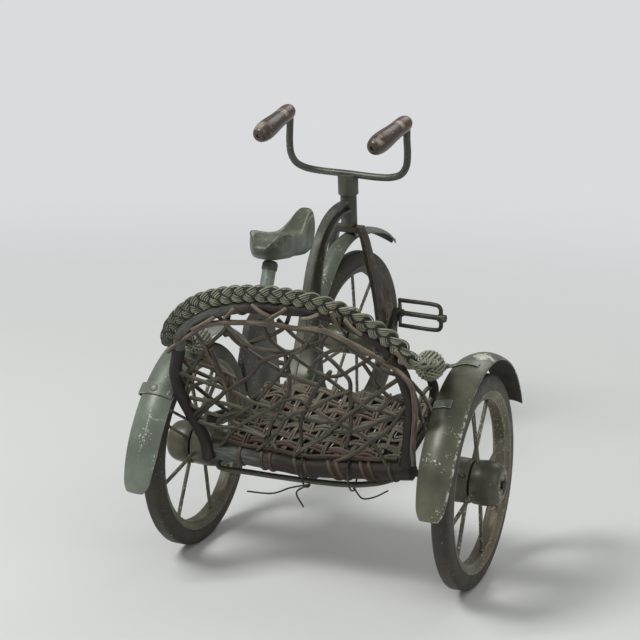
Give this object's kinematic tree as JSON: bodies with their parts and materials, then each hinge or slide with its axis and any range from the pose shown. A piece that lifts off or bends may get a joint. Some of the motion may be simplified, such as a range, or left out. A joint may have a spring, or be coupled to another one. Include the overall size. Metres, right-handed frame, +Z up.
{
  "type": "bicycle sidecar",
  "caption": "Small ornamental bicycle with a steerable, pedal-driven front wheel and a wicker sidecar chair, framed in sticks, reeds and plaited straw, on its own spoked wheel.",
  "frame": {"origin": "on the ground, at the middle of the flat of the tread under the bicycle's rear wheel", "axes": "+Y forward towards the front wheel, +X to the right towards the sidecar, +Z up"},
  "size_m": [0.3219, 0.485, 0.2923],
  "materials": {
    "tyre": "dull worn tyre, dark brown",
    "sage_paint": "matt grey-green paint, worn pale along the edges",
    "hub_wood": "turned wood, grey-brown, rubbed shiny on the barrel",
    "dark_metal": "dark worn paint with a dull sheen",
    "olive_paint": "matt olive paint over bent strip",
    "grip_wood": "dark turned wood with pale rubbed spots",
    "saddle_leather": "olive leather, creased and rubbed at the rim",
    "bark_stick": "stripped stick with dark bark left on",
    "dark_reed": "dry bent reed, dark grey-brown",
    "braided_straw": "pale plaited straw",
    "seat_splint": "twisted pale splint, woven",
    "iron_wire": "dark annealed wire"
  },
  "bodies": {
    "bicycle_and_sidecar": {"axle_bar": "dark_metal", "axle_nut_left": "dark_metal", "axle_nut_right": "dark_metal", "fender_left": "sage_paint", "fender_strap_left": "sage_paint", "fender_right": "sage_paint", "fender_strap_right": "sage_paint", "head_tube": "olive_paint", "frame_main_strap": "olive_paint", "frame_inner_strap": "olive_paint", "rear_stay_left": "dark_metal", "rear_stay_right": "dark_metal", "seat_mast": "dark_metal", "saddle_post": "sage_paint", "saddle": "saddle_leather", "chassis_rod": "dark_metal", "braided_rim": "braided_straw", "arm_knob_left": "braided_straw", "arm_knob_right": "braided_straw", "basket_hoop": "bark_stick", "bottom_rail": "bark_stick", "tie_wire_left": "iron_wire", "tie_wire_right": "iron_wire", "back_post_left": "bark_stick", "fender_stay_left": "iron_wire", "back_post_right": "bark_stick", "fender_stay_right": "iron_wire", "arm_post_left": "bark_stick", "arm_post_right": "bark_stick", "back_lattice": "dark_reed", "side_lattice_left": "dark_reed", "side_lattice_right": "dark_reed", "seat_front_rail": "dark_reed", "seat_side_rail_left": "bark_stick", "seat_side_rail_right": "bark_stick", "rail_wrap_left": "seat_splint", "rail_wrap_right": "seat_splint", "seat_panel": "seat_splint", "fender_bracket_right": "sage_paint"},
    "rear_wheel_left": {"rear_tyre_left": "tyre", "rear_rim_and_spokes_left": "sage_paint", "rear_hub_left": "hub_wood"},
    "sidecar_wheel": {"rear_tyre_right": "tyre", "rear_rim_and_spokes_right": "sage_paint", "rear_hub_right": "hub_wood"},
    "steering": {"fork": "dark_metal", "handlebar": "sage_paint", "stem": "sage_paint", "grip_left": "grip_wood", "grip_right": "grip_wood", "front_fender": "sage_paint"},
    "front_wheel": {"front_tyre": "tyre", "front_rim_and_spokes": "sage_paint", "front_hub": "hub_wood", "crank_right": "dark_metal", "crank_left": "dark_metal"},
    "right_pedal": {"pedal_right": "dark_metal"},
    "left_pedal": {"pedal_left": "dark_metal"}
  },
  "joints": [
    {"name": "rear_wheel_spin", "type": "hinge", "parent": "bicycle_and_sidecar", "child": "rear_wheel_left", "pos_m": [0, 0, 0.075], "axis": [1, 0, 0], "continuous": true},
    {"name": "sidecar_wheel_spin", "type": "hinge", "parent": "bicycle_and_sidecar", "child": "sidecar_wheel", "pos_m": [0.214, 0, 0.075], "axis": [1, 0, 0], "continuous": true},
    {"name": "steering_turn", "type": "hinge", "parent": "bicycle_and_sidecar", "child": "steering", "pos_m": [0, 0.301, 0.081], "axis": [0, -0.0872, 0.9962], "range_deg": [-34, 46]},
    {"name": "front_wheel_spin", "type": "hinge", "parent": "steering", "child": "front_wheel", "pos_m": [0, 0.301, 0.081], "axis": [0.9945, -0.1041, -0.0091], "continuous": true},
    {"name": "right_pedal_spin", "type": "hinge", "parent": "front_wheel", "child": "right_pedal", "pos_m": [0.00211, 0.31878, 0.10752], "axis": [0.9945, -0.1041, -0.0091], "continuous": true},
    {"name": "left_pedal_spin", "type": "hinge", "parent": "front_wheel", "child": "left_pedal", "pos_m": [-0.00211, 0.28321, 0.05448], "axis": [0.9945, -0.1041, -0.0091], "continuous": true}
  ]
}
